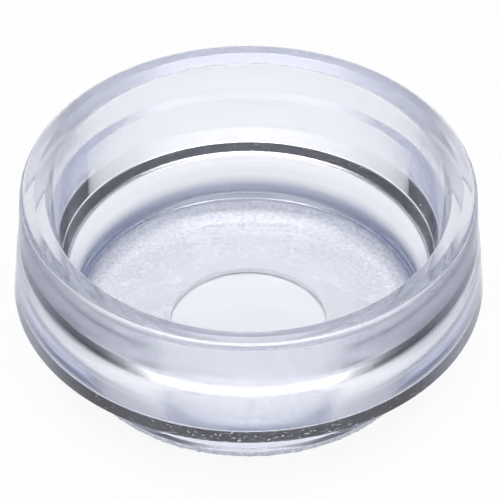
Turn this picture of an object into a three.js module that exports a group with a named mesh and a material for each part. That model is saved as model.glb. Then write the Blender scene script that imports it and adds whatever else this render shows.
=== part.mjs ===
// Clear stacking caster cup: one moulded cup that stands on a soft grip ring.
// Millimetres, +Z up. The origin is the middle of the face that meets the floor.
import * as THREE from "three";

// Cup moulding, outside
const bodyHeight = 23.55; // underside of the foot to the top of the rim
const rimDiameter = 58.2;
const wallBaseDiameter = 58.7; // upper wall where it meets the shoulder
const shoulderDepth = 7.1; // below the rim
const shoulderHeight = 1;
const shoulderWidth = 0.2; // the skirt stands this far proud of the upper wall
const skirtDiameter = 60; // widest place, at the skirt's lower edge
const footHeight = 7.85; // the foot shows this far under the skirt
const undersideRise = 0.3; // the skirt's underside climbs this much from its edge to the foot
const footTopDiameter = 51; // goes into the mouth of the next cup in a stack
const footBottomDiameter = 46.4;

// Cup moulding, inside
const rimCrestDiameter = 54.6; // the flat of the rim ends here and falls to the mouth
const mouthDiameter = 51.3;
const mouthDrop = 0.5; // the mouth lies this far under the top of the rim
const wallDraft = 10.5; // degrees, opens the bowl towards the rim
const floorThickness = 3.65; // under the flat seat
const seatDiameter = 20.2; // flat middle of the floor, where the caster comes to rest
const dishRise = 0.7; // the floor climbs this much from the seat to the wall

// Rounds and fillets of the moulding
const rimOuterRound = 0.8;
const rimCrestRound = 0.5;
const mouthRound = 0.4;
const shoulderFillet = 0.5;
const shoulderRound = 1.2;
const skirtEdgeRound = 0.2;
const footTopFillet = 1.5;
const footBottomRound = 0.2;
const coveRadius = 2; // between the bowl's wall and its floor

// Grip ring and the film that holds it
const gripThickness = 1;
const gripHoleDiameter = 20.2;
const gripInset = 0.1; // the ring stops this far inside the flat of the foot
const filmThickness = 0.15;

// Fineness of the revolved surfaces
const turnSteps = 80;
const degreesPerArcStep = 20;

const clearPlastic = new THREE.MeshStandardMaterial({
  color: 0xe4e8f4,
  roughness: 0.06,
  metalness: 0,
  transparent: true,
  opacity: 0.4,
});
const frostedRubber = new THREE.MeshStandardMaterial({
  color: 0xe9ebf2,
  roughness: 0.75,
  metalness: 0,
});
const clearFilm = new THREE.MeshStandardMaterial({
  color: 0xeef0f4,
  roughness: 0.3,
  metalness: 0,
  transparent: true,
  opacity: 0.5,
});

// A corner of a profile: its radius from the axis, its height, and the round that takes its edge off.
function corner(radius, height, round = 0) {
  return { at: new THREE.Vector2(radius, height), round };
}

// The points of one corner, as an arc that leaves both of its edges smoothly.
function cornerPoints(before, { at, round }, after) {
  if (round === 0) return [at];
  const toBefore = before.at.clone().sub(at).normalize();
  const toAfter = after.at.clone().sub(at).normalize();
  const halfAngle = Math.acos(toBefore.dot(toAfter)) / 2;
  const toCentre = toBefore.clone().add(toAfter).normalize();
  const centre = toCentre.multiplyScalar(round / Math.sin(halfAngle)).add(at);
  const reach = round / Math.tan(halfAngle);
  const start = toBefore.multiplyScalar(reach).add(at).sub(centre);
  const end = toAfter.multiplyScalar(reach).add(at).sub(centre);
  const turn = Math.atan2(start.cross(end), start.dot(end));
  const steps = Math.ceil(THREE.MathUtils.radToDeg(Math.abs(turn)) / degreesPerArcStep);
  const points = [];
  for (let step = 0; step <= steps; step += 1) {
    const spoke = start.clone().rotateAround(new THREE.Vector2(), (turn * step) / steps);
    points.push(spoke.add(centre));
  }
  return points;
}

// A profile that starts and ends on the axis, or one that closes on itself, with its corners rounded.
function roundedProfile(corners) {
  const last = corners.length - 1;
  return corners.flatMap((here, i) => {
    if (i === 0 || i === last) return [here.at];
    return cornerPoints(corners[i - 1], here, corners[i + 1]);
  });
}

// Turns a profile of radius and height about the Z axis.
function revolve(points) {
  return new THREE.LatheGeometry(points, turnSteps).rotateX(Math.PI / 2);
}

function cupGeometry() {
  const rimRadius = rimDiameter / 2;
  const wallBaseRadius = wallBaseDiameter / 2;
  const mouthRadius = mouthDiameter / 2;
  const shoulderTop = bodyHeight - shoulderDepth;
  const mouthHeight = bodyHeight - mouthDrop;
  const bowlDepth = mouthHeight - floorThickness - dishRise;
  const draft = THREE.MathUtils.degToRad(wallDraft);
  const bowlBaseRadius = mouthRadius - bowlDepth * Math.tan(draft);
  return revolve(
    roundedProfile([
      corner(0, 0),
      corner(footBottomDiameter / 2, 0, footBottomRound),
      corner(footTopDiameter / 2, footHeight + undersideRise, footTopFillet),
      corner(skirtDiameter / 2, footHeight, skirtEdgeRound),
      corner(wallBaseRadius + shoulderWidth, shoulderTop - shoulderHeight, shoulderRound),
      corner(wallBaseRadius, shoulderTop, shoulderFillet),
      corner(rimRadius, bodyHeight, rimOuterRound),
      corner(rimCrestDiameter / 2, bodyHeight, rimCrestRound),
      corner(mouthRadius, mouthHeight, mouthRound),
      corner(bowlBaseRadius, floorThickness + dishRise, coveRadius),
      corner(seatDiameter / 2, floorThickness),
      corner(0, floorThickness),
    ]),
  );
}

// The grip ring and its film are cut to the same outline from flat sheet.
function ringGeometry(thickness) {
  const innerRadius = gripHoleDiameter / 2;
  const outerRadius = footBottomDiameter / 2 - footBottomRound - gripInset;
  return revolve(
    roundedProfile([
      corner(innerRadius, 0),
      corner(outerRadius, 0),
      corner(outerRadius, thickness),
      corner(innerRadius, thickness),
      corner(innerRadius, 0),
    ]),
  );
}

function piece(name, geometry, material, height) {
  const mesh = new THREE.Mesh(geometry, material);
  mesh.name = name;
  mesh.position.z = height;
  return mesh;
}

const casterCup = new THREE.Group();
casterCup.name = "caster_cup";
casterCup.add(
  piece("grip_ring", ringGeometry(gripThickness), frostedRubber, 0),
  piece("adhesive_film", ringGeometry(filmThickness), clearFilm, gripThickness),
  piece("cup_body", cupGeometry(), clearPlastic, gripThickness + filmThickness),
);

export default casterCup;
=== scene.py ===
# %% [markdown]
# A clear caster cup stands under a furniture caster, so that the wheel doesn't mark the floor. It is one
# thick clear moulding on a frosted grip ring, with a thin film of adhesive between them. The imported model
# comes in first as a fixed frame, and every piece here takes its place from that frame.

# %% Load the frame
import math

import bpy
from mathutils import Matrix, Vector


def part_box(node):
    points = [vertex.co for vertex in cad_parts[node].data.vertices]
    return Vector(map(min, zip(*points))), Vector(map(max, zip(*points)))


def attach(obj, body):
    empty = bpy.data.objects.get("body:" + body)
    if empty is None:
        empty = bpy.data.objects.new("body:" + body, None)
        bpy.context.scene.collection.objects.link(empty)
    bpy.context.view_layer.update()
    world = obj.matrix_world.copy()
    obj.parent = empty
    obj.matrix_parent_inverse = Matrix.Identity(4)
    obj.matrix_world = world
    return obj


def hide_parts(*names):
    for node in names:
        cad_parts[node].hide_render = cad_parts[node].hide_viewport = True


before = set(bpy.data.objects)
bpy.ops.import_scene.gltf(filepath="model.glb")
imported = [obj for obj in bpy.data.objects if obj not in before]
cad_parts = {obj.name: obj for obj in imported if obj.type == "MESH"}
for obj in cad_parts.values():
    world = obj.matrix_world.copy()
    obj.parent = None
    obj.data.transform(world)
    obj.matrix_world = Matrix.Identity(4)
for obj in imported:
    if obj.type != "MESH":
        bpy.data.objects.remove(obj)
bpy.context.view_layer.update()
scene = bpy.context.scene
MM = 0.001

# %% [markdown]
# The cup is seen from a little over forty degrees above the floor, from far away, so its ellipses hardly
# taper. A camera could be guessed and nudged, but the rim, the shoulder and the foot are circles of known
# size, so their ellipses give the height of the view and the scale. The long lens follows from both.

# %% Camera
IMAGE_SIZE = 500
VIEW_HEIGHT = math.radians(41.8)
VIEW_DISTANCE = 1.2
PIXELS_PER_METRE = 7830
AIM_HEIGHT = 14.87 * MM
AXIS_COLUMN = 248.6
FARTHEST_SEEN = 20

camera_data = bpy.data.cameras.new("photo_camera")
camera_data.lens = camera_data.sensor_width * PIXELS_PER_METRE * VIEW_DISTANCE / IMAGE_SIZE
camera_data.shift_x = (IMAGE_SIZE / 2 - AXIS_COLUMN) / IMAGE_SIZE
camera_data.clip_end = FARTHEST_SEEN
camera = bpy.data.objects.new("photo_camera", camera_data)
camera.location = (
    0,
    -VIEW_DISTANCE * math.cos(VIEW_HEIGHT),
    AIM_HEIGHT + VIEW_DISTANCE * math.sin(VIEW_HEIGHT),
)
camera.rotation_euler = (math.pi / 2 - VIEW_HEIGHT, 0, 0)
scene.collection.objects.link(camera)
scene.camera = camera
print("lens:", round(camera_data.lens, 1), "mm")

# %% [markdown]
# The shapes and the finishes below are all trees of nodes. Adding a node, setting it and linking it could
# be three lines for each, which hides how the tree flows. One helper does all three, so that each node
# names what it is fed with, and a tree reads from its first node to its last.


# %% Tools for building node trees
def feed(tree, node, name, value):
    """Gives an input a plain value, or links a node or one of a node's outputs to it."""
    if isinstance(value, bpy.types.Node):
        value = value.outputs[0]
    if isinstance(value, bpy.types.NodeSocket):
        tree.links.new(value, node.inputs[name])
    else:
        node.inputs[name].default_value = value


def add_node(tree, kind, inputs=None, **settings):
    """Adds a node with its settings, and feeds its inputs."""
    node = tree.nodes.new(kind)
    for name, value in settings.items():
        setattr(node, name, value)
    for name, value in (inputs or {}).items():
        feed(tree, node, name, value)
    return node


def add_math(tree, operation, *values):
    """A calculation with one or two values, each a node, an output or a plain number."""
    return add_node(tree, "ShaderNodeMath", dict(enumerate(values)), operation=operation)


def add_socket(tree, name, kind, direction="INPUT", default=None):
    """Gives a tree a named input or output of its own."""
    socket = tree.interface.new_socket(name, in_out=direction, socket_type=kind)
    if default is not None:
        socket.default_value = default
    return socket


print("tools for node trees are ready")

# %% [markdown]
# Every piece of the cup is round, as if turned on a lathe. A Screw modifier could turn an outline, but its
# corners would have to be drawn point by point. Here a node tree takes a section drawn with plain corners,
# gives each corner the round that it carries, sweeps the section round the axis and welds the ends.

# %% A tree that turns a section about the axis
PATH_RADIUS = 10 * MM
WELD = 0.001 * MM

turning = bpy.data.node_groups.new("Turn Section", "GeometryNodeTree")
add_socket(turning, "Section", "NodeSocketGeometry")
turn_steps_socket = add_socket(turning, "Turn Steps", "NodeSocketInt", default=256)
corner_steps_socket = add_socket(turning, "Corner Steps", "NodeSocketInt", default=10)
turned_finish_socket = add_socket(turning, "Finish", "NodeSocketMaterial")
add_socket(turning, "Geometry", "NodeSocketGeometry", "OUTPUT")

section = add_node(turning, "NodeGroupInput").outputs
outline = add_node(turning, "GeometryNodeMeshToCurve", {"Mesh": section["Section"]})
corner_round = add_node(turning, "GeometryNodeInputNamedAttribute", {"Name": "round"}, data_type="FLOAT")
rounded = add_node(
    turning,
    "GeometryNodeFilletCurve",
    {"Curve": outline, "Count": section["Corner Steps"], "Radius": corner_round.outputs["Attribute"]},
    mode="POLY",
)
stood_up = add_node(
    turning,
    "GeometryNodeTransform",
    {"Geometry": rounded, "Translation": (-PATH_RADIUS, 0, 0), "Rotation": (math.pi / 2, 0, 0)},
)
path = add_node(
    turning,
    "GeometryNodeCurvePrimitiveCircle",
    {"Resolution": section["Turn Steps"], "Radius": PATH_RADIUS},
)
swept = add_node(turning, "GeometryNodeCurveToMesh", {"Curve": path, "Profile Curve": stood_up})
welded = add_node(turning, "GeometryNodeMergeByDistance", {"Geometry": swept, "Distance": WELD})
outward = add_node(turning, "GeometryNodeFlipFaces", {"Mesh": welded})
smooth = add_node(turning, "GeometryNodeSetShadeSmooth", {"Geometry": outward})
real = add_node(turning, "GeometryNodeRealizeInstances", {"Geometry": smooth})
finished = add_node(
    turning, "GeometryNodeSetMaterial", {"Geometry": real, "Material": section["Finish"]}
)
add_node(turning, "NodeGroupOutput", {"Geometry": finished})
print("turning tree:", len(turning.nodes), "nodes")

# %% [markdown]
# The wide flats of a moulding are truly flat, and only the narrow rounds between them turn. Plain smooth
# shading would bend light across the flats as if they were lenses, which shows at once in clear plastic.
# Weighted normals let the wide faces set the shading, and the rounds take up the turn.


# %% From a section to a plain mesh
def draw_section(name, corners, closed):
    """A line of corners in millimetres of radius and height, each with the round that takes its edge off."""
    edges = [(i, i + 1) for i in range(len(corners) - 1)]
    if closed:
        edges.append((len(corners) - 1, 0))
    mesh = bpy.data.meshes.new(name)
    mesh.from_pydata([(radius * MM, 0, height * MM) for radius, height, _ in corners], edges, [])
    rounds = mesh.attributes.new("round", "FLOAT", "POINT")
    rounds.data.foreach_set("value", [round_off * MM for _, _, round_off in corners])
    return mesh


def add_tree(piece, tree, values):
    """Puts a node tree on a piece, with the values of its inputs by their sockets."""
    modifier = piece.modifiers.new(tree.name, "NODES")
    modifier.node_group = tree
    for socket, value in values:
        modifier[socket.identifier] = value


def turned_piece(name, corners, closed, finish, turn_steps, corner_steps):
    """A piece with the turning tree on it."""
    piece = bpy.data.objects.new(name, draw_section(name, corners, closed))
    scene.collection.objects.link(piece)
    values = (
        (turn_steps_socket, turn_steps),
        (corner_steps_socket, corner_steps),
        (turned_finish_socket, finish),
    )
    add_tree(piece, turning, values)
    return piece


def let_flats_rule(piece):
    """Lets the wide flat faces set the shading."""
    piece.modifiers.new("Flat faces first", "WEIGHTED_NORMAL")


def make_plain(piece):
    """Turns what the modifiers make into the piece's own mesh, and takes the modifiers off."""
    evaluated = piece.evaluated_get(bpy.context.evaluated_depsgraph_get())
    made = bpy.data.meshes.new_from_object(evaluated)
    piece.modifiers.clear()
    piece.data = made
    made.name = piece.name
    made.calc_loop_triangles()
    size = [round(x / MM, 2) for x in piece.dimensions]
    print(piece.name, len(made.loop_triangles), "triangles,", size)


print("tools for turned pieces are ready")

# %% [markdown]
# Grain shows on every finish here: as the stipple under the skirt, as the frosting of the rubber and as
# the mottle of the film. Each could have noise of its own, but then they would drift apart. It is one
# group of shader nodes with its own scale in each material. It reads Object coordinates, so it stays on
# the piece.

# %% Grain, shared by the finishes
grain_group = bpy.data.node_groups.new("fine_grain", "ShaderNodeTree")
add_socket(grain_group, "Grain Size", "NodeSocketFloat", default=0.4 * MM)
add_socket(grain_group, "Cloud Size", "NodeSocketFloat", default=6 * MM)
for mask in ("Grain", "Specks", "Clouds"):
    add_socket(grain_group, mask, "NodeSocketFloat", "OUTPUT")

grain_sizes = add_node(grain_group, "NodeGroupInput").outputs
grain_place = add_node(grain_group, "ShaderNodeTexCoord").outputs["Object"]
grains_per_metre = add_math(grain_group, "DIVIDE", 1, grain_sizes["Grain Size"])
clouds_per_metre = add_math(grain_group, "DIVIDE", 1, grain_sizes["Cloud Size"])
grain_noise = add_node(
    grain_group,
    "ShaderNodeTexNoise",
    {"Vector": grain_place, "Scale": grains_per_metre, "Detail": 3, "Roughness": 0.6},
)
speck_cells = add_node(
    grain_group,
    "ShaderNodeTexVoronoi",
    {"Vector": grain_place, "Scale": grains_per_metre},
    feature="F1",
)
specks = add_node(
    grain_group,
    "ShaderNodeMapRange",
    {"Value": speck_cells.outputs["Distance"], "From Min": 0.34, "From Max": 0.16},
)
cloud_noise = add_node(
    grain_group,
    "ShaderNodeTexNoise",
    {"Vector": grain_place, "Scale": clouds_per_metre, "Detail": 4, "Roughness": 0.55},
)
add_node(
    grain_group, "NodeGroupOutput", {"Grain": grain_noise, "Specks": specks, "Clouds": cloud_noise}
)
print("grain group:", len(grain_group.nodes), "nodes")

# %% [markdown]
# Wear, stipple and dirt on a round piece follow its radius and its height. They could be painted on by
# hand, but a rule keeps them in place when a size changes. A second group says how far a point is from the
# axis and how high it is, and the finishes make their zones from that.

# %% Place on the cup, shared by the finishes
place_group = bpy.data.node_groups.new("place_on_cup", "ShaderNodeTree")
add_socket(place_group, "Radius", "NodeSocketFloat", "OUTPUT")
add_socket(place_group, "Height", "NodeSocketFloat", "OUTPUT")

point = add_node(place_group, "ShaderNodeTexCoord").outputs["Object"]
across = add_node(place_group, "ShaderNodeVectorMath", {0: point, 1: (1, 1, 0)}, operation="MULTIPLY")
from_axis = add_node(place_group, "ShaderNodeVectorMath", {0: across}, operation="LENGTH")
point_axes = add_node(place_group, "ShaderNodeSeparateXYZ", {"Vector": point})
add_node(
    place_group,
    "NodeGroupOutput",
    {"Radius": from_axis.outputs["Value"], "Height": point_axes.outputs["Z"]},
)
print("place group:", len(place_group.nodes), "nodes")

# %% [markdown]
# A finish is one Principled shader, with masks that change its colour and its gloss from place to place.
# Ramps could be drawn by eye for each mask, but a range with two ends says in numbers where a change
# starts and stops. The tools here carry values between ranges, mark zones in millimetres and blend
# colours.


# %% Tools for the finishes
def new_finish(name, **settings):
    """A material with one Principled shader, and the plain values of its sockets."""
    finish = bpy.data.materials.new(name)
    finish.use_nodes = True
    shader = finish.node_tree.nodes["Principled BSDF"]
    for socket, value in settings.items():
        shader.inputs[socket.replace("_", " ")].default_value = value
    return finish, finish.node_tree, shader


def add_grain(tree, grain_size, cloud_size):
    """The shared grain, with its sizes in millimetres."""
    grain = add_node(tree, "ShaderNodeGroup", node_tree=grain_group)
    feed(tree, grain, "Grain Size", grain_size * MM)
    feed(tree, grain, "Cloud Size", cloud_size * MM)
    return grain.outputs


def add_place(tree):
    """The shared radius and height."""
    return add_node(tree, "ShaderNodeGroup", node_tree=place_group).outputs


def add_range(tree, value, source, target):
    """Carries a value from one range to another, and holds it inside."""
    ends = {"From Min": source[0], "From Max": source[1], "To Min": target[0], "To Max": target[1]}
    return add_node(tree, "ShaderNodeMapRange", {"Value": value, **ends})


def add_zone(tree, value, zero_at, one_at):
    """A mask that climbs from 0 to 1 between two places in millimetres."""
    return add_range(tree, value, (zero_at * MM, one_at * MM), (0, 1))


def multiply(tree, first, *others):
    """Several masks in one: it is open only where all of them are."""
    for other in others:
        first = add_math(tree, "MULTIPLY", first, other)
    return first


def add_blend(tree, share, first, second):
    """Blends two colours, each an output or a plain colour, by a share from 0 to 1."""
    inputs = {"Factor": share, "A": first, "B": second}
    return add_node(tree, "ShaderNodeMix", inputs, data_type="RGBA").outputs["Result"]


print("tools for the finishes are ready")

# %% [markdown]
# The cup is clear plastic with a faint blue-lilac cast, which shows where light goes a long way through
# it. The cast could be painted on as a colour, but then thin and thick places would look alike. A little
# absorption inside the plastic tones the rim and the walls and leaves the thin floor clear.

# %% Clear plastic
PLASTIC_FACE = (0.985, 0.988, 0.997, 1)
PLASTIC_DEPTH = (0.7, 0.755, 0.93, 1)
DEPTH_DENSITY = 7
PLASTIC_IOR = 1.49

clear_plastic, plastic_tree, plastic = new_finish(
    "clear_plastic", Base_Color=PLASTIC_FACE, Transmission_Weight=1.0, IOR=PLASTIC_IOR
)
plastic_depth = add_node(
    plastic_tree,
    "ShaderNodeVolumeAbsorption",
    {"Color": PLASTIC_DEPTH, "Density": DEPTH_DENSITY},
)
feed(plastic_tree, plastic_tree.nodes["Material Output"], "Volume", plastic_depth)
plastic_grain = add_grain(plastic_tree, grain_size=0.42, cloud_size=9)
on_cup = add_place(plastic_tree)
print(clear_plastic.name, "refracts by", PLASTIC_IOR)

# %% [markdown]
# The cove between the wall and the floor of the bowl looks like a soft blue-grey band. A clear cove would
# show only the floor behind it. It carries a painted shade: a blue-grey tone that stands in for the shade on
# the floor under the skirt, strongest at the bottom and fading up the wall, under a satin haze.

# %% Painted shade and satin haze on the cove, with heights and radii in millimetres
COVE_PAINTED_SHADE = (0.27, 0.31, 0.43, 1)
COVE_HAZE = 0.15
COVE_FLOOR = 5.0
COVE_FADES = (8.0, 6.4)
COVE_STARTS = (20.2, 21.4)
COVE_OUTSIDE = 23.3

cove_painted_shade_band = multiply(
    plastic_tree,
    add_zone(plastic_tree, on_cup["Height"], *COVE_FADES),
    add_math(plastic_tree, "GREATER_THAN", on_cup["Height"], COVE_FLOOR * MM),
    add_zone(plastic_tree, on_cup["Radius"], *COVE_STARTS),
    add_math(plastic_tree, "LESS_THAN", on_cup["Radius"], COVE_OUTSIDE * MM),
)
# Painted shade: the cove is tinted blue-grey to stand in for the shade on the floor under the skirt.
plastic_tone_with_painted_shade = add_blend(plastic_tree, cove_painted_shade_band, PLASTIC_FACE, COVE_PAINTED_SHADE)
feed(plastic_tree, plastic, "Base Color", plastic_tone_with_painted_shade)
print("cove band from", COVE_FLOOR, "to", COVE_FADES[0], "mm high")

# %% [markdown]
# The face under the skirt is taken as left rough by the mould, because the dark lines that it mirrors are
# broken by pale specks. Real pits would need millions of faces. A shallow bump and spots of haze, held to a
# ring between the fillet of the foot and the skirt's sharp edge, break the lines in the same way.

# %% Stipple under the skirt, with heights and radii in millimetres
STIPPLE_FLOOR = 8.95
STIPPLE_FADES = (9.6, 9.33)
STIPPLE_STARTS = (26.3, 26.9)
STIPPLE_ENDS = (29.8, 29.5)
STIPPLE_GRAIN = (0.54, 0.66)
STIPPLE_HAZE = (0.03, 0.3)
STIPPLE_DEPTH = 0.02

stipple_zone = multiply(
    plastic_tree,
    add_zone(plastic_tree, on_cup["Height"], *STIPPLE_FADES),
    add_math(plastic_tree, "GREATER_THAN", on_cup["Height"], STIPPLE_FLOOR * MM),
    add_zone(plastic_tree, on_cup["Radius"], *STIPPLE_STARTS),
    add_zone(plastic_tree, on_cup["Radius"], *STIPPLE_ENDS),
)
speck_haze = add_range(plastic_tree, plastic_grain["Grain"], STIPPLE_GRAIN, STIPPLE_HAZE)
stipple_haze = multiply(plastic_tree, stipple_zone, speck_haze)
stipple_bump = add_node(
    plastic_tree,
    "ShaderNodeBump",
    {
        "Strength": 1.0,
        "Distance": STIPPLE_DEPTH * MM,
        "Height": multiply(plastic_tree, stipple_zone, plastic_grain["Grain"]),
    },
)
feed(plastic_tree, plastic, "Normal", stipple_bump)
print("stipple from", STIPPLE_STARTS[0], "to", STIPPLE_ENDS[0], "mm from the axis")

# %% [markdown]
# Cups rub on each other in a stack and in a drawer, so the outer wall and the rim lose their polish first,
# and the rest keeps only faint clouds. One even roughness would frost the whole cup. Each worn place has
# its own haze, and where two meet the stronger one shows.

# %% Worn wall and rim, with heights and radii in millimetres
WALL_HAZE = 0.15
WALL_STARTS = (12, 14.5)
WALL_OUTSIDE = (28.0, 28.4)
RIM_HAZE = 0.1
RIM_STARTS = (23.9, 24.15)
CLOUD_RANGE = (0.4, 0.7)
CLOUD_HAZE = (0, 0.03)

wall_haze = multiply(
    plastic_tree,
    add_zone(plastic_tree, on_cup["Height"], *WALL_STARTS),
    add_zone(plastic_tree, on_cup["Radius"], *WALL_OUTSIDE),
    WALL_HAZE,
)
rim_haze = multiply(plastic_tree, add_zone(plastic_tree, on_cup["Height"], *RIM_STARTS), RIM_HAZE)
cove_haze = multiply(plastic_tree, cove_painted_shade_band, COVE_HAZE)
worn_haze = add_math(plastic_tree, "MAXIMUM", wall_haze, rim_haze)
worn_haze = add_math(plastic_tree, "MAXIMUM", worn_haze, cove_haze)
cloud_haze = add_range(plastic_tree, plastic_grain["Clouds"], CLOUD_RANGE, CLOUD_HAZE)
rough_haze = add_math(plastic_tree, "ADD", stipple_haze, worn_haze)
feed(plastic_tree, plastic, "Roughness", add_math(plastic_tree, "ADD", cloud_haze, rough_haze))
print(clear_plastic.name, len(plastic_tree.nodes), "nodes")

# %% [markdown]
# The grip ring is soft frosted rubber, milky rather than white, so that light comes through it from the
# floor. A solid white would look like paper under the clear cup. A partly clear body scatters the light as
# the rubber does, and its grain changes both the tone and the gloss. Towards its hole it is painted paler,
# a painted light that stands in for the shade that the cup's walls cast on its outer part.

# %% Frosted rubber
RUBBER_DARK = (0.76, 0.765, 0.79, 1)
RUBBER_PALE = (1.0, 1.0, 1.0, 1)
RUBBER_GRAIN = (0.4, 0.6)
RUBBER_CLOUDS = (0.35, 0.65)
RUBBER_HAZE = (0.2, 0.3)
RUBBER_DEPTH = 0.05
PAINTED_LIGHT_SHARE = 0.7
PAINTED_LIGHT_FADES = (20, 12)

frosted_rubber, rubber_tree, rubber = new_finish("frosted_rubber", Transmission_Weight=0.15, IOR=1.1)
rubber_grain = add_grain(rubber_tree, grain_size=0.5, cloud_size=5)
on_ring = add_place(rubber_tree)
pale_share = add_range(rubber_tree, rubber_grain["Grain"], RUBBER_GRAIN, (0, 1))
rubber_tone = add_blend(rubber_tree, pale_share, RUBBER_DARK, RUBBER_PALE)
# Painted light: the tone turns paler towards the hole, standing in for the shade on the ring's outer part.
painted_light_zone = add_zone(rubber_tree, on_ring["Radius"], *PAINTED_LIGHT_FADES)
painted_light_share = multiply(rubber_tree, painted_light_zone, PAINTED_LIGHT_SHARE)
feed(rubber_tree, rubber, "Base Color", add_blend(rubber_tree, painted_light_share, rubber_tone, RUBBER_PALE))
rubber_haze = add_range(rubber_tree, rubber_grain["Clouds"], RUBBER_CLOUDS, RUBBER_HAZE)
feed(rubber_tree, rubber, "Roughness", rubber_haze)
rubber_bump = add_node(
    rubber_tree,
    "ShaderNodeBump",
    {"Strength": 0.6, "Distance": RUBBER_DEPTH * MM, "Height": rubber_grain["Grain"]},
)
feed(rubber_tree, rubber, "Normal", rubber_bump)
print(frosted_rubber.name, len(rubber_tree.nodes), "nodes")

# %% [markdown]
# The film is a thin clear layer of adhesive. Pressed on by hand it never wets the plastic evenly, so it
# has cloudy places and small specks of trapped air. Bubbles could be modelled, but they would be finer than
# a hair. The same grain, larger, mottles its gloss.

# %% Adhesive film
FILM_FACE = (0.98, 0.985, 0.99, 1)
FILM_CLOUDS = (0.4, 0.7)
FILM_HAZE = (0.1, 0.13)
FILM_SPECK_HAZE = (0, 0.03)

clear_film, film_tree, film = new_finish(
    "clear_film", Base_Color=FILM_FACE, Transmission_Weight=1.0, IOR=1.15
)
film_grain = add_grain(film_tree, grain_size=0.7, cloud_size=4)
film_clouds = add_range(film_tree, film_grain["Clouds"], FILM_CLOUDS, FILM_HAZE)
film_specks = add_range(film_tree, film_grain["Specks"], (0, 1), FILM_SPECK_HAZE)
feed(film_tree, film, "Roughness", add_math(film_tree, "ADD", film_clouds, film_specks))
print(clear_film.name, len(film_tree.nodes), "nodes")

# %% [markdown]
# The foot of a cup goes into the mouth of the next one in a stack, the skirt flares to the widest place,
# and the bowl has a cove, a dished floor and a flat seat. The sizes could be read back from the packed
# mesh, but that is faceted. So they are written out here. The rounds at the shoulder and at the top of the
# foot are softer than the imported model's, because they set how strong the lines are that show through the
# walls.

# %% Sizes of the cup's section, in millimetres
FOOT_RADIUS = 23.2
FOOT_TOP_RADIUS = 25.5
FOOT_HEIGHT = 7.85  # the foot shows this far under the skirt
UNDERSIDE_RISE = 0.3  # from the skirt's edge to the foot
FOOT_FILLET = 1.9
SKIRT_RADIUS = 30.0  # before its edge is rounded
EDGE_ROUND = 0.2  # lower edges of the foot and of the skirt
SHOULDER_RADIUS = 29.55
SHOULDER_HEIGHT = 1.6
SHOULDER_DEPTH = 6.8  # below the rim
SHOULDER_ROUND = 6.0
WALL_RADIUS = 29.35  # upper wall where it meets the shoulder
RIM_RADIUS = 29.1
RIM_ROUND = 0.8
CREST_RADIUS = 27.3  # the flat of the rim ends here and falls to the mouth
CREST_ROUND = 0.5
MOUTH_RADIUS = 25.65
MOUTH_DROP = 0.5
MOUTH_ROUND = 0.4
BOWL_BASE_RADIUS = 22.195
COVE_ROUND = 2.0
DISH_RISE = 0.7  # from the seat to the bowl's wall
SEAT_RADIUS = 10.1
SEAT_ROUND = 2.0
FLOOR_THICKNESS = 3.65  # under the seat

cup_low, cup_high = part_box("cup_body")
foot = cup_low.z / MM
rim = cup_high.z / MM
skirt_edge = foot + FOOT_HEIGHT
shoulder_top = rim - SHOULDER_DEPTH
seat = foot + FLOOR_THICKNESS
print("cup from", round(foot, 2), "to", round(rim, 2), "mm high")

# %% [markdown]
# The moulding is drawn as one section, from the middle of the foot out to the skirt, up the wall, over the
# rim and down the bowl to the seat. It could be put together from rings and discs, but the real cup has no
# seams. Each corner says how far from the axis it is, how high it is and what round takes its edge off.

# %% The clear cup
cup_section = [
    (0, foot, 0),
    (FOOT_RADIUS, foot, EDGE_ROUND),
    (FOOT_TOP_RADIUS, skirt_edge + UNDERSIDE_RISE, FOOT_FILLET),
    (SKIRT_RADIUS, skirt_edge, EDGE_ROUND),
    (SHOULDER_RADIUS, shoulder_top - SHOULDER_HEIGHT, SHOULDER_ROUND),
    (WALL_RADIUS, shoulder_top, SHOULDER_ROUND),
    (RIM_RADIUS, rim, RIM_ROUND),
    (CREST_RADIUS, rim, CREST_ROUND),
    (MOUTH_RADIUS, rim - MOUTH_DROP, MOUTH_ROUND),
    (BOWL_BASE_RADIUS, seat + DISH_RISE, COVE_ROUND),
    (SEAT_RADIUS, seat, SEAT_ROUND),
    (0, seat, 0),
]
clear_cup = turned_piece(
    "clear_cup", cup_section, closed=False, finish=clear_plastic, turn_steps=256, corner_steps=10
)
let_flats_rule(clear_cup)
make_plain(clear_cup)

# %% [markdown]
# The ring grips the floor by a close stipple of small domes on its underside. Domes could be set on it one
# by one, but then each would be a loose shell stuck into the ring. Here the ring's own skin is drawn down
# into domes by a cell pattern, so it stays one closed body, and the highest domes reach the floor.

# %% A tree that draws the underside into domes
FACES_DOWN = -0.99
DOME_EDGE = 0.5
DOME_TOP = 0.05

stippling = bpy.data.node_groups.new("Stipple Underside", "GeometryNodeTree")
add_socket(stippling, "Ring", "NodeSocketGeometry")
dome_pitch_socket = add_socket(stippling, "Dome Pitch", "NodeSocketFloat", default=0.8 * MM)
dome_height_socket = add_socket(stippling, "Dome Height", "NodeSocketFloat", default=0.2 * MM)
stippled_finish_socket = add_socket(stippling, "Finish", "NodeSocketMaterial")
add_socket(stippling, "Geometry", "NodeSocketGeometry", "OUTPUT")

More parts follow.
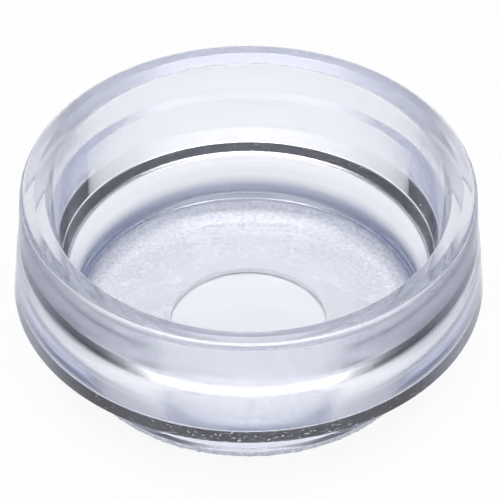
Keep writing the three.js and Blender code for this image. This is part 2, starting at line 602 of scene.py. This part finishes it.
plain_ring = add_node(stippling, "NodeGroupInput").outputs
facing = add_node(stippling, "GeometryNodeInputNormal")
facing_axes = add_node(stippling, "ShaderNodeSeparateXYZ", {"Vector": facing})
facing_down = add_math(stippling, "LESS_THAN", facing_axes.outputs["Z"], FACES_DOWN)
cells = add_node(
    stippling,
    "ShaderNodeTexVoronoi",
    {
        "Vector": add_node(stippling, "GeometryNodeInputPosition"),
        "Scale": add_math(stippling, "DIVIDE", 1, plain_ring["Dome Pitch"]),
        "Randomness": 0.8,
    },
    feature="F1",
)
dome = add_node(
    stippling,
    "ShaderNodeMapRange",
    {"Value": cells.outputs["Distance"], "From Min": DOME_EDGE, "From Max": DOME_TOP},
    interpolation_type="SMOOTHSTEP",
)
drop = multiply(stippling, dome, -1.0, plain_ring["Dome Height"])
shift = add_node(stippling, "ShaderNodeCombineXYZ", {"Z": drop})
drawn = add_node(
    stippling,
    "GeometryNodeSetPosition",
    {"Geometry": plain_ring["Ring"], "Selection": facing_down, "Offset": shift},
)
ring_smooth = add_node(stippling, "GeometryNodeSetShadeSmooth", {"Geometry": drawn})
ring_real = add_node(stippling, "GeometryNodeRealizeInstances", {"Geometry": ring_smooth})
ring_finished = add_node(
    stippling, "GeometryNodeSetMaterial", {"Geometry": ring_real, "Material": plain_ring["Finish"]}
)
add_node(stippling, "NodeGroupOutput", {"Geometry": ring_finished})
print("stipple tree:", len(stippling.nodes), "nodes")

# %% [markdown]
# The ring is cut from sheet to the flat of the foot, with a hole in the middle. A bare ring has only an
# inner and an outer edge to move, so its underside is divided into fine steps first. It is drawn shorter
# by the height of a dome, and the domes fill the rest.

# %% The grip ring
RING_INNER = 10.1
RING_ROUND = 0.06
DOME_PITCH = 0.8
DOME_HEIGHT = 0.2
CLEARANCE = 0.01
UNDERSIDE_STEPS = 64

ring_low, ring_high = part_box("grip_ring")
ring_outer = ring_high.x / MM
ring_skin = ring_low.z / MM + DOME_HEIGHT
ring_top = ring_high.z / MM - CLEARANCE
underside = [
    (RING_INNER + (ring_outer - RING_INNER) * step / UNDERSIDE_STEPS, ring_skin, 0)
    for step in range(1, UNDERSIDE_STEPS)
]
ring_section = [
    (RING_INNER, ring_skin, RING_ROUND),
    *underside,
    (ring_outer, ring_skin, RING_ROUND),
    (ring_outer, ring_top, RING_ROUND),
    (RING_INNER, ring_top, RING_ROUND),
]
stippled_ring = turned_piece(
    "stippled_ring", ring_section, closed=True, finish=frosted_rubber, turn_steps=640, corner_steps=3
)
dome_values = (
    (dome_pitch_socket, DOME_PITCH * MM),
    (dome_height_socket, DOME_HEIGHT * MM),
    (stippled_finish_socket, frosted_rubber),
)
add_tree(stippled_ring, stippling, dome_values)
make_plain(stippled_ring)

# %% [markdown]
# The film has the outline of the ring. It is so thin that only its edge and its mottle can be seen. It
# could fill its place exactly, but two clear faces in the same place confuse the renderer, so it is a hair
# thinner.

# %% The adhesive film
FILM_ROUND = 0.02

film_low, film_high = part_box("adhesive_film")
film_bottom = film_low.z / MM + CLEARANCE
film_top = film_high.z / MM - 2 * CLEARANCE
film_section = [
    (RING_INNER, film_bottom, FILM_ROUND),
    (ring_outer, film_bottom, FILM_ROUND),
    (ring_outer, film_top, FILM_ROUND),
    (RING_INNER, film_top, FILM_ROUND),
]
tacky_film = turned_piece(
    "tacky_film", film_section, closed=True, finish=clear_film, turn_steps=192, corner_steps=2
)
let_flats_rule(tacky_film)
make_plain(tacky_film)

# %% [markdown]
# The cup stands on a white sweep. What a clear cup shows is mostly its surroundings, so the floor has to
# look white to the camera and yet keep the soft shade under the skirt. Stronger lamps would burn the cup
# out. The floor is white paint, which takes the shade, with an even glow for the rays that look at it,
# strong for the camera and faint for what is seen in and through the plastic. It is open from below.

# %% White floor
FLOOR_HALF_WIDTH = 6.0
WHITE = (1, 1, 1, 1)
WHITE_PAINT = (0.92, 0.92, 0.92, 1)
FLOOR_GLOW = 0.88
THROUGH_GLOW = 0.04

floor_mesh = bpy.data.meshes.new("white_floor")
floor_corners = [
    (x * FLOOR_HALF_WIDTH, y * FLOOR_HALF_WIDTH, 0) for x, y in ((-1, -1), (1, -1), (1, 1), (-1, 1))
]
floor_mesh.from_pydata(floor_corners, [], [(0, 1, 2, 3)])
white_floor = bpy.data.objects.new("white_floor", floor_mesh)
scene.collection.objects.link(white_floor)

floor_paint = bpy.data.materials.new("white_sweep")
floor_paint.use_nodes = True
floor_tree = floor_paint.node_tree
floor_tree.nodes.clear()
ray = add_node(floor_tree, "ShaderNodeLightPath").outputs
seen_glow = multiply(floor_tree, ray["Is Camera Ray"], FLOOR_GLOW)
through = add_math(floor_tree, "MAXIMUM", ray["Is Glossy Ray"], ray["Is Transmission Ray"])
through_glow = multiply(floor_tree, through, THROUGH_GLOW)
glow_share = add_math(floor_tree, "MAXIMUM", seen_glow, through_glow)
glow = add_node(floor_tree, "ShaderNodeEmission", {"Color": WHITE, "Strength": 1.0})
floor_mesh.materials.append(floor_paint)
print("floor:", 2 * FLOOR_HALF_WIDTH, "m wide")

# %% [markdown]
# Clear things on white lose their edges. A photographer lays dark cards beside them, just out of the
# picture, and the side walls mirror the cards as grey edges. Card pieces would have to be hidden from the
# camera one by one, so the cards are two dark strips in the floor's paint that camera rays skip.

# %% Dark cards beside the cup
CARD_PAINT = (0.09, 0.09, 0.14, 1)
CARD_INNER = 39
CARD_OUTER = 69
HALF_BLUR = 7

floor_place = add_node(floor_tree, "ShaderNodeTexCoord").outputs["Object"]
floor_axes = add_node(floor_tree, "ShaderNodeSeparateXYZ", {"Vector": floor_place})
aside = add_math(floor_tree, "ABSOLUTE", floor_axes.outputs["X"])
card_share = multiply(
    floor_tree,
    add_zone(floor_tree, aside, CARD_INNER - HALF_BLUR, CARD_INNER + HALF_BLUR),
    add_zone(floor_tree, aside, CARD_OUTER + HALF_BLUR, CARD_OUTER - HALF_BLUR),
    add_math(floor_tree, "SUBTRACT", 1.0, ray["Is Camera Ray"]),
)
floor_tone = add_blend(floor_tree, card_share, WHITE_PAINT, CARD_PAINT)
paint = add_node(floor_tree, "ShaderNodeBsdfDiffuse", {"Color": floor_tone})
lit_floor = add_node(floor_tree, "ShaderNodeMixShader", {0: glow_share, 1: paint, 2: glow})
from_below = add_node(floor_tree, "ShaderNodeNewGeometry").outputs["Backfacing"]
open_below = add_node(floor_tree, "ShaderNodeBsdfTransparent")
seen_floor = add_node(floor_tree, "ShaderNodeMixShader", {0: from_below, 1: lit_floor, 2: open_below})
add_node(floor_tree, "ShaderNodeOutputMaterial", {"Surface": seen_floor})
print("cards from", CARD_INNER, "to", CARD_OUTER, "mm beside the axis")

# %% [markdown]
# Glassware is lit by a soft light overhead in a dim room, because the dim walls draw the dark edges that
# make clear plastic readable. Lamps would add hard highlights that a light tent doesn't have. The sky of
# this scene is that tent: pale at the floor, dim at the walls, with a dark strip behind that the skirt's
# underside mirrors as dark lines, and a ring of light overhead.

# %% Light tent
OVERHEAD = ((65, 0.8), (68, 4.5), (78, 5.0), (84, 2.4), (90, 1.6))  # degrees above the floor, level
BEHIND = ((0, 1.0), (2.5, 1.0), (3.5, 0.4), (22, 0.35), (29, 0.25), (33, 0.04), (56, 0.03), (61, 0.5))
SIDES = ((0, 1.0), (2.5, 1.0), (3.5, 0.3), (16, 0.15), (44, 0.12), (60, 0.3))
FRONT = ((0, 1.0), (2.5, 1.0), (3.5, 0.85), (30, 0.75), (60, 0.7))
BEHIND_TURN = (0.3, 0.6)
FRONT_TURN = (-0.2, -0.5)
WALL_TINT = (0.82, 0.84, 1.0)
WALL_FOOT = 3
LAMP_EDGE = 66
RIGHT_ANGLE = 90

studio = bpy.data.worlds.new("light_tent")
scene.world = studio
studio.use_nodes = True
tent_tree = studio.node_tree
direction = add_node(tent_tree, "ShaderNodeTexCoord").outputs["Generated"]
direction_axes = add_node(tent_tree, "ShaderNodeSeparateXYZ", {"Vector": direction}).outputs
height_angle = add_math(tent_tree, "ARCSINE", direction_axes["Z"])
height_share = add_range(tent_tree, height_angle, (0, math.pi / 2), (0, 1))


def add_levels(wall):
    """How bright one side of the tent is at each height above the floor."""
    levels = wall + OVERHEAD
    ramp = add_node(tent_tree, "ShaderNodeValToRGB", {0: height_share})
    stops = ramp.color_ramp.elements
    while len(stops) < len(levels):
        stops.new(0.5)  # moved to its own height below
    for stop, (degrees, level) in zip(stops, levels):
        stop.position = degrees / RIGHT_ANGLE
        tint = WALL_TINT if WALL_FOOT < degrees < LAMP_EDGE else (1, 1, 1)
        stop.color = (*(level * channel for channel in tint), 1)
    return ramp.outputs["Color"]


tent_level = add_levels(SIDES)
for wall, turn in ((BEHIND, BEHIND_TURN), (FRONT, FRONT_TURN)):
    wall_share = add_range(tent_tree, direction_axes["Y"], turn, (0, 1))
    tent_level = add_blend(tent_tree, wall_share, tent_level, add_levels(wall))
feed(tent_tree, tent_tree.nodes["Background"], "Color", tent_level)
print("tent:", len(tent_tree.nodes), "nodes")

# %% [markdown]
# Light goes in and out of a thick wall many times before it leaves the cup. Cut short, those paths would
# end in black, and the renderer's blur of gloss would smear what is seen through the plastic. So the paths
# may be long, the blur is off, and the colours go to the picture as they are.

# %% Light paths and colours
LONGEST_PATH = 32

scene.cycles.max_bounces = LONGEST_PATH
scene.cycles.transmission_bounces = LONGEST_PATH
scene.cycles.glossy_bounces = LONGEST_PATH
scene.cycles.blur_glossy = 0.0
scene.view_settings.view_transform = "Standard"
print("light paths of up to", LONGEST_PATH, "bounces")

# %% [markdown]
# Each piece stands for one imported node and rides on the one body that the cup has, since nothing on it
# moves. The pieces could be tied one by one, but a loop says the same for all three.

# %% Tie the pieces to the frame
for piece, node, finish_slot in (
    (clear_cup, "cup_body", "clear_plastic"),
    (stippled_ring, "grip_ring", "frosted_rubber"),
    (tacky_film, "adhesive_film", "clear_film"),
):
    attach(piece, "root")
    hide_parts(node)
